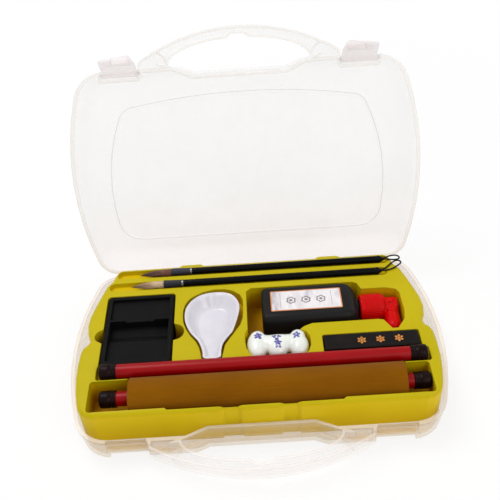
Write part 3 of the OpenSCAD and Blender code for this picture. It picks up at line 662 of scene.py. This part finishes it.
PAINT = (("base_shell", CASE_BASE), ("lid_shell", CASE_LID), ("latch_left", CASE_FLAP),
         ("latch_right", CASE_FLAP), ("tray", TRAY), ("inkstone", STONE), ("ink_stick", STICK),
         ("scroll_top_rod", ROD), ("scroll_roller", ROD),
         ("brush_a_handle", BLACK), ("brush_b_handle", BLACK),
         ("brush_a_ring", SILVER), ("brush_b_ring", SILVER),
         ("brush_a_end", BLACK), ("brush_b_end", BLACK),
         ("brush_a_ferrule", HORN), ("brush_b_ferrule", HORN))
for name, material in PAINT:
    nodes[name].material_slots[0].material = material


# ---------------------------------------------------------------- spoon dish

# the rim as (y, right x, left x), from the spout end to the round end
RIM_PAIRS = [[-33.2, -30.8, -43.4], [-26, -29.4, -45], [-19, -28.1, -46.8],
             [-12.5, -24.8, -49.6], [-5, -19.8, -54.8], [3, -17.2, -58.5],
             [10.5, -15.2, -60.6], [18, -13.7, -61.2], [25, -13.2, -60.4], [31, -14.4, -58],
             [36, -16.8, -54.4], [40.2, -20.4, -49.4], [42.7, -25.6, -43.6],
             [43.6, -31.2, -37.4]]
RIM = even(spline([(p[1], p[0], 0) for p in RIM_PAIRS]
                  + [(p[2], p[0], 0) for p in RIM_PAIRS[::-1]], 6, True)
           + [Vector((RIM_PAIRS[0][1], RIM_PAIRS[0][0], 0))], 145)[0][:-1]
DISH_TOP = 46.2
DISH_DEPTH = 12.0
DISH_WALL = 2.0
DISH_X = -37
BOWL_Y = 20
SPINE_END = -25
FLUTE_RISE = 1.9


def dish_ring(draw, s, g, t, flute=0.0):
    """The rim drawn in by draw, gone s of the way to the spine and g of the way down, up by t."""
    n = len(RIM)
    ring = []
    for i, p in enumerate(RIM):
        a, b = RIM[i - 1], RIM[(i + 1) % n]
        out = Vector((b.y - a.y, a.x - b.x, 0)).normalized()
        q = p - out * draw
        spine = Vector((DISH_X, max(min(q.y, BOWL_Y), SPINE_END), 0))
        v = q + (spine - q) * s
        depth = DISH_DEPTH if q.y > 0 else DISH_DEPTH + q.y * 0.16
        z = DISH_TOP - depth * g + t
        if flute:
            # two finger flutes in the wall of the bowl
            ang = math.degrees(math.atan2(q.y - BOWL_Y, q.x - DISH_X))
            z += flute * sum(math.exp(-((ang - m) / 4.6) ** 2) for m in (72, 98))
        ring.append(Vector((v.x, v.y, z)) * MM)
    return ring


def dish_wall(draw, keys, steps, flute=0.0):
    """Rings along a smooth line through keys of (s, g, t)."""
    line = spline([(s * 20, g * 12, t) for s, g, t in keys], steps)
    rings = []
    for i, v in enumerate(line):
        share = math.sin(math.pi * i / (len(line) - 1))
        rings.append(dish_ring(draw, v.x / 20, v.y / 12, v.z, flute * share))
    return rings


w = DISH_WALL
under = [dish_ring(0, s, 1, 0) for s in (0.9, 0.6, 0.5)]
outer = dish_wall(0, [(0.46, 1, 0), (0.34, 0.88, 0), (0.2, 0.6, 0), (0.08, 0.24, 0),
                      (0, 0.06, 0)], 5)
lip = [dish_ring(draw, 0, g, 0) for draw, g in
       ((0.12, 0.025), (0.4, 0.006), (w / 2, 0), (w - 0.4, 0.006), (w - 0.1, 0.025))]
bowl = dish_wall(w, [(0.005, 0.05, 0), (0.06, 0.2, w * 0.4), (0.17, 0.54, w * 0.8),
                     (0.3, 0.84, w), (0.42, 1, w)], 6, FLUTE_RISE)
floor_in = [dish_ring(w, s, 1, w) for s in (0.5, 0.62, 0.78, 0.92, 0.985)]
place("porcelain_spoon_dish", *loft(under + outer + lip + bowl + floor_in), WHITE, "dish",
      "porcelain_white", ["spoon_dish"])


# ---------------------------------------------------------------- brush rest

def blob(centre, r, stretch, n=28):
    """An ellipsoid, in mm."""
    rings = []
    for i in range(1, n):
        a = math.pi * i / n
        ring = []
        for j in range(2 * n):
            b = TURN * j / (2 * n)
            v = Vector((r * stretch[0] * math.sin(a) * math.cos(b),
                        r * stretch[1] * math.sin(a) * math.sin(b),
                        r * stretch[2] * math.cos(a)))
            ring.append((Vector(centre) + v) * MM)
        rings.append(ring)
    return loft(rings)


def rod_y(x, z, y0, y1, r, n=40):
    """A round bar along Y, in mm."""
    return loft([circle(x, y, z, r, n, "Y") for y in (y0, y1)])


def slab(x0, x1, y0, y1, z0, z1):
    """A box, in mm."""
    corners = ((x0, y0), (x1, y0), (x1, y1), (x0, y1))
    return loft([[Vector((x, y, z)) * MM for x, y in corners] for z in (z0, z1)])


def melt(name, parts, voxel, smooth, material, body, slot, stands_for, cutters=()):
    """One skin over overlapping forms, smoothed where they meet, less the cutters."""
    o = place(name, *join(parts), material, body, slot, stands_for)
    r = o.modifiers.new("skin", "REMESH")
    r.mode = "VOXEL"
    r.voxel_size = voxel
    tools = []
    for i, (cv, cf) in enumerate(cutters):
        me = bpy.data.meshes.new(f"{name}_cut{i}")
        me.from_pydata([tuple(v) for v in cv], [], cf)
        cut = bpy.data.objects.new(f"{name}_cut{i}", me)
        scene.collection.objects.link(cut)
        tools.append(cut)
        b = o.modifiers.new("cut", "BOOLEAN")
        b.operation = "DIFFERENCE"
        b.object = cut
        b.solver = "EXACT"
    if tools:
        r = o.modifiers.new("skin2", "REMESH")
        r.mode = "VOXEL"
        r.voxel_size = voxel
    s = o.modifiers.new("smooth", "SMOOTH")
    s.factor = 0.5
    s.iterations = smooth
    bpy.context.view_layer.update()
    graph = bpy.context.evaluated_depsgraph_get()
    made = bpy.data.meshes.new_from_object(o.evaluated_get(graph))
    o.modifiers.clear()
    old = o.data
    o.data = made
    bpy.data.meshes.remove(old)
    made.polygons.foreach_set("use_smooth", [True] * len(made.polygons))
    for cut in tools:
        bpy.data.objects.remove(cut)


REST_VOXEL = 0.0005
melt("porcelain_brush_rest",
     [blob((0.4, -16.8, 38.6), 7.9, (1.1, 1.80, 0.97)),
      blob((17.4, -20.4, 38.6), 7.8, (1.12, 1.36, 0.96)),
      blob((35.4, -19.6, 38.6), 7.9, (1.06, 1.50, 0.97)),
      blob((17.6, -16.0, 38.4), 7.9, (2.5, 1.14, 0.93)),
      blob((8.8, -15.4, 38.3), 7.5, (1.1, 1.12, 0.94)),
      blob((26.4, -15.8, 38.3), 7.5, (1.1, 1.12, 0.94)),
      blob((1.0, -10.2, 39.9), 6.3, (1.1, 1.16, 0.98)),
      blob((34.9, -10.9, 39.9), 6.1, (1.1, 1.16, 0.98))],
     REST_VOXEL, 26, PAINTED, "rest", "porcelain_painted", ["brush_rest"],
     [rod_y(9.2, 30.6, -50, 2, 4.6), rod_y(26.2, 30.6, -50, 2, 4.6),
      slab(-30, 70, -60, 20, 10, 31.05)])


# ---------------------------------------------------------------- ink bottle, label and cap

# axis of the bottle along X, and the half width and half height of its body
BY, BZ = 24.0, 34.0
BODY_Y, BODY_Z = 20.98, 14.98


def rounded(hy, hz, r, n=10):
    """Rounded rectangle as (y, z), half sizes hy and hz."""
    out = []
    for cy, cz, a0 in ((1, 1, 0), (-1, 1, 90), (-1, -1, 180), (1, -1, 270)):
        for i in range(n + 1):
            a = math.radians(a0 + 90 * i / n)
            out.append((cy * (hy - r) + r * math.cos(a), cz * (hz - r) + r * math.sin(a)))
    return out


# the body as (x, how far its sides are drawn in)
BODY = [(6.05, 5.6), (6.2, 4.2), (6.55, 2.9), (7.1, 1.8), (8.0, 0.9), (9.2, 0.3), (10.6, 0.02),
        (30, 0.0), (60, 0.0), (78, 0.02), (80.4, 0.22), (82.4, 0.72), (84.3, 1.65),
        (86.0, 2.95), (87.4, 4.5), (88.5, 6.2), (89.3, 7.6), (89.6, 8.4)]
NECK = [(86, 8.8), (88.6, 9.3), (89.2, 9.4), (90.2, 9.35), (90.5, 9.0), (90.7, 8.2),
        (91.2, 7.4), (91.8, 7.0), (92.4, 7.0), (108, 7.0), (110.2, 7.0), (110.6, 6.6)]
body_rings = []
for x, d in BODY:
    corner = max(6.3 - 0.25 * d, 2.5)
    body_rings.append([Vector((x, BY + y, BZ + z)) * MM
                       for y, z in rounded(BODY_Y - d, BODY_Z - d, corner)])
place("ink_bottle", *join([loft(body_rings), loft(turned(NECK, BY, BZ, 64))]), BOTTLE,
      "bottle", "bottle_black", ["bottle_body"])

# the foil lies on the flat side; its top face is drawn in a little at the rim
LABEL_X, LABEL_Y = 45, 24.3
LABEL_PLAN = rounded(30.9, 12.2, 1.2, 6)
lab = [[Vector((LABEL_X + u, LABEL_Y + v, z)) * MM for u, v in LABEL_PLAN]
       for z in (48.98, 49.16)]
lab.append([v + (Vector((LABEL_X, LABEL_Y, 49.17)) * MM - v) * 0.012 for v in lab[-1]])
place("bottle_foil_label", *loft(lab), LABEL, "bottle", "label_silver", ["bottle_label"])

# collar of the cap, ribbed between RIB_X0 and RIB_X1
RIB_X0, RIB_X1, RIBS = 95.4, 110.4, 48
COLLAR = [(92.2, 7.3), (92.2, 11.2), (92.5, 11.75), (93.0, 11.95), (94.6, 11.95),
          (95.3, 11.8), (95.7, 11.9), (96.2, 11.95), (98, 11.95), (101, 11.95), (104, 11.95),
          (107, 11.95), (109.6, 11.95), (110.1, 11.9), (110.5, 11.8), (111.2, 11.9),
          (111.9, 11.75), (112.4, 11.2), (112.6, 10.2), (112.7, 8.2)]


def ribs(x, a):
    """How far the collar's ribs stand out, as a share of its radius."""
    if RIB_X0 < x < RIB_X1:
        fade = min(1, (x - RIB_X0) / 0.5, (RIB_X1 - x) / 0.5)
        return 0.014 * (max(math.sin(RIBS * a), -0.2) - 0.6) * fade
    return 0.0


place("cap_collar", *loft(turned(COLLAR, BY, BZ, 8 * RIBS, ribs), False), CAP, "cap",
      "cap_red", ["bottle_cap"])

# turret, the spout that lies across it, its stub on top and the tab on the spout
TURRET = [(111.8, 3), (111.8, 11.0), (112.6, 11.1), (113.1, 10.8), (113.5, 9.6), (114.0, 8.5),
          (123.4, 8.3), (124.6, 7.9), (125.2, 7.0), (125.5, 5.2), (125.5, 2)]
SPOUT_X = 118.6
SPOUT = [(24, 6.95), (16, 6.9), (12, 6.5), (9, 6.6), (4, 6.8), (0, 6.75), (-2.4, 6.2),
         (-4.4, 5.0), (-5.8, 3.4), (-6.6, 1.6)]
STUB = [(34, 3.3), (41, 3.2), (42.8, 3.1), (43.3, 2.8), (43.5, 2.2)]
CAP_VOXEL = 0.00045
melt("cap_spout",
     [loft(turned(TURRET, BY, BZ, 64)),
      loft([circle(SPOUT_X, y, BZ, r, 48, "Y") for y, r in SPOUT]),
      loft([circle(SPOUT_X, BY, z, r, 32, "Z") for z, r in STUB]),
      slab(115.2, 122.0, 12.5, 15.4, 38.6, 41.2)],
     CAP_VOXEL, 6, CAP, "cap", "cap_red", [])


# ---------------------------------------------------------------- scroll: end caps and cloth

ROD_Y, ROD_Z, ROLL_Y, ROLL_Z = -41.3, 45.3, -63.3, 38.0
KNOB = [(0, 3.8), (0, 6.5), (0.15, 6.75), (0.5, 6.9), (1.5, 6.93), (1.75, 6.62), (2.15, 6.55),
        (2.5, 6.9), (3.6, 6.93), (3.85, 6.62), (4.25, 6.55), (4.6, 6.92), (7.6, 6.97),
        (11.2, 6.98), (12.1, 6.86), (12.9, 6.5), (13.5, 5.8), (13.85, 4.8), (13.97, 3.6),
        (13.99, 1.2)]


def knob(x0, way, y, z):
    """Turned end cap with two grooves beside the rod and a rounded end."""
    rings = turned([(x0 + way * a, r) for a, r in KNOB], y, z, 72)
    if way < 0:
        rings = [r[::-1] for r in rings]
    return loft(rings)


place("top_rod_end_caps", *join([knob(-114.6, -1, ROD_Y, ROD_Z), knob(123.3, 1, ROD_Y, ROD_Z)]),
      DARK, "scroll", "cap_dark", ["scroll_top_caps"])
place("roller_end_caps", *join([knob(-113.5, -1, ROLL_Y, ROLL_Z), knob(122.5, 1, ROLL_Y, ROLL_Z)]),
      DARK, "scroll", "cap_dark", ["scroll_roller_caps"])

# the cloth is wound from R0 to R1 about the roller, and its tail runs under the upper rod
PITCH = 0.6
R0, R1 = 6.25, 16.18
PER_TURN = 44
LEAVES_AT = math.radians(-16.0)
TAIL_UNDER, TAIL_KNEE, TAIL_END = 5.3, 17.9, 20.55
CLOTH_X0, CLOTH_X1 = -103.0, 116.0
CLOTH_THICK = 0.00042
HEM = 6

turns = (R1 - R0) / PITCH
count = int(turns * PER_TURN)
line = []
for i in range(count + 1):
    t = i / count
    a = LEAVES_AT - TURN * turns * (1 - t)
    r = R0 + (R1 - R0) * t + 0.03 * math.sin(5.3 * a) * t
    line.append(Vector((ROLL_Y + r * math.cos(a), ROLL_Z + r * math.sin(a))))

slope = math.atan2(ROD_Z - ROLL_Z, ROD_Y - ROLL_Y)
d = Vector((math.cos(slope), math.sin(slope)))
nrm = Vector((-math.sin(slope), math.cos(slope)))
root = Vector((ROLL_Y, ROLL_Z))
start = line[-1]
knee = root + d * TAIL_KNEE - nrm * TAIL_UNDER
end = root + d * TAIL_END - nrm * TAIL_UNDER
c1 = start + (line[-1] - line[-2]).normalized() * 3.2
c2 = knee - d * 1.4
for i in range(1, 9):
    t = i / 8
    line.append(start * (1 - t) ** 3 + c1 * 3 * t * (1 - t) ** 2 + c2 * 3 * t * t * (1 - t)
                + knee * t ** 3)
line.append(knee.lerp(end, 0.5))
line.append(end)
long = [0.0]
for a, b in zip(line, line[1:]):
    long.append(long[-1] + (b - a).length)

xs = [CLOTH_X0 + x for x in (0, 0.8, HEM, 60, 110, 160)] + [CLOTH_X1 - x for x in (HEM, 0.8, 0)]
verts, faces, uvs = [], [], []
for i, p in enumerate(line):
    # the winding wanders a little at both ends of the roll
    turn = i / PER_TURN
    shift = 0.22 * math.sin(turn * 2.1) + 0.12 * math.sin(turn * 5.7 + 1)
    for x in xs:
        e = max(0.0, 1 - min(x - CLOTH_X0, CLOTH_X1 - x) / HEM)
        verts.append(Vector((x + (shift - math.copysign(0.35, x)) * e, p.x, p.y)) * MM)
        uvs.append((x * MM, long[i] * MM))
n = len(xs)
for i in range(len(line) - 1):
    for j in range(n - 1):
        faces.append((i * n + j, i * n + j + 1, (i + 1) * n + j + 1, (i + 1) * n + j))
cloth = place("scroll_cloth_sheet", verts, faces, CLOTH, "scroll", "cloth_ochre",
              ["scroll_cloth", "scroll_tail"])
layer = cloth.data.uv_layers.new(name="weave")
for poly in cloth.data.polygons:
    for li in poly.loop_indices:
        layer.data[li].uv = uvs[cloth.data.loops[li].vertex_index]
s = cloth.modifiers.new("thickness", "SOLIDIFY")
s.thickness = CLOTH_THICK
s.offset = 0.0


# ---------------------------------------------------------------- brush tips

TUFT_LONG = 31.0
TUFT_RADIUS = 3.05
STRANDS = 520
STRAND_RINGS = 9
CORE_RINGS, CORE_SIDES = 25, 40


def belly(t):
    """Radius of a tuft at t of its length, as a share of that at its root."""
    if t < 0.3:
        return 1 + 0.5 * t
    if t < 0.6:
        return 1.15 - 0.9 * (t - 0.3)
    return 0.88 * (1 - (t - 0.6) / 0.4) ** 0.85


def tuft(name, x, y, z, droop, material, body, slot, node, seed):
    """A core that swells and closes to a point, under fine strands that lie along it."""
    rnd = random.Random(seed)
    r = TUFT_RADIUS

    def at(t, dy, dz):
        return Vector((x - 0.985 * t * TUFT_LONG + 0.3, y - droop * t * t + dy, z + dz)) * MM

    rings = []
    for i in range(CORE_RINGS):
        t = i / (CORE_RINGS - 1)
        q = r * 0.93 * max(belly(t), 0.012)
        ring = []
        for j in range(CORE_SIDES):
            a = TURN * j / CORE_SIDES
            k = 1 + 0.035 * math.sin(9 * a + 2 * t) + 0.025 * math.sin(17 * a - 3 * t)
            ring.append(at(t, q * k * math.cos(a), q * k * math.sin(a)))
        rings.append(ring[::-1])
    parts = [loft(rings)]
    for _ in range(STRANDS):
        a = rnd.uniform(0, TURN)
        q = 1.0 - 0.16 * rnd.random() ** 2
        end = 1 - 0.3 * rnd.random() ** 2.2
        wide = rnd.uniform(0.09, 0.15)
        sway = rnd.uniform(-0.16, 0.16)
        rings = []
        for s in range(STRAND_RINGS):
            share = s / (STRAND_RINGS - 1)
            t = end * share
            rr = r * min(q * max(belly(t), 0.0), 1.02) * (1 if s else 0.94) + 0.03
            aa = a + sway * math.sin(math.pi * share)
            cy, cz = rr * math.cos(aa), rr * math.sin(aa)
            thin = wide * (1 - 0.9 * share ** 2)
            ring = []
            for k in range(3):
                c = aa + TURN * k / 3
                ring.append(at(t, cy + thin * math.cos(c), cz + thin * math.sin(c)))
            rings.append(ring[::-1])
        parts.append(loft(rings))
    place(name, *join(parts), material, body, slot, [node])


tuft("brush_a_tuft", -74.0, 74.6, 45.3, 2.2, HAIR_A, "brush_a", "hair_brown",
     "brush_a_hair", 11)
tuft("brush_b_tuft", -80.7, 59.0, 45.3, 1.4, HAIR_B, "brush_b", "hair_pale",
     "brush_b_hair", 23)


# ---------------------------------------------------------------- stage and light

SOFT_LIGHT = 0.55
FLOOR_SIZE = 24
FLOOR_Z = -0.0004


def seen_rays(m):
    """1 for the rays that show the white studio: camera, glossy and transmission rays."""
    ray = add(m, "LightPath").outputs
    return more(m, more(m, ray["Is Camera Ray"], ray["Is Glossy Ray"]),
                ray["Is Transmission Ray"])


# the floor goes over into white around the object, and keeps the shadow beside it
floor_mat = blank("floor")
floor_mat.node_tree.nodes.clear()
away = add(floor_mat, "VectorMath", {0: where(floor_mat)}, operation="LENGTH").outputs["Value"]
fade = grey(floor_mat, away, 0.8, 1.0, 0.18, 0.8, "SMOOTHSTEP")
paper = add(floor_mat, "BsdfDiffuse", {"Color": (0.94, 0.94, 0.94, 1)}).outputs[0]
white = add(floor_mat, "Emission", {"Color": (1, 1, 1, 1), "Strength": 1.0}).outputs[0]
share = times(floor_mat, seen_rays(floor_mat), fade)
mixed = add(floor_mat, "MixShader", {0: share, 1: paper, 2: white}).outputs[0]
add(floor_mat, "OutputMaterial", {0: mixed})
bpy.ops.mesh.primitive_plane_add(size=FLOOR_SIZE, location=(0, 0, FLOOR_Z))
ground = bpy.context.object
ground.name = "floor"
ground.data.materials.append(floor_mat)

world = bpy.data.worlds.new("world")
scene.world = world
world.use_nodes = True
world.node_tree.nodes.clear()
soft = add(world, "Background", {"Color": (1, 1, 1, 1), "Strength": SOFT_LIGHT}).outputs[0]
seen = add(world, "Background", {"Color": (1, 1, 1, 1), "Strength": 1.0}).outputs[0]
mixed = add(world, "MixShader", {0: seen_rays(world), 1: soft, 2: seen}).outputs[0]
add(world, "OutputWorld", {0: mixed})


def lamp(name, at, to, size, power):
    """A round soft lamp that looks at a point."""
    data = bpy.data.lights.new(name, "AREA")
    data.shape = "DISK"
    data.size = size
    data.energy = power
    o = bpy.data.objects.new(name, data)
    o.location = at
    o.rotation_euler = (Vector(to) - Vector(at)).to_track_quat("-Z", "Y").to_euler()
    scene.collection.objects.link(o)


lamp("key", (-0.45, 0.35, 1.25), (0, 0.02, 0.04), 0.7, 8.5)
lamp("fill", (0.7, -0.75, 0.9), (0, 0, 0.04), 0.9, 4.5)

scene.view_settings.view_transform = "Standard"
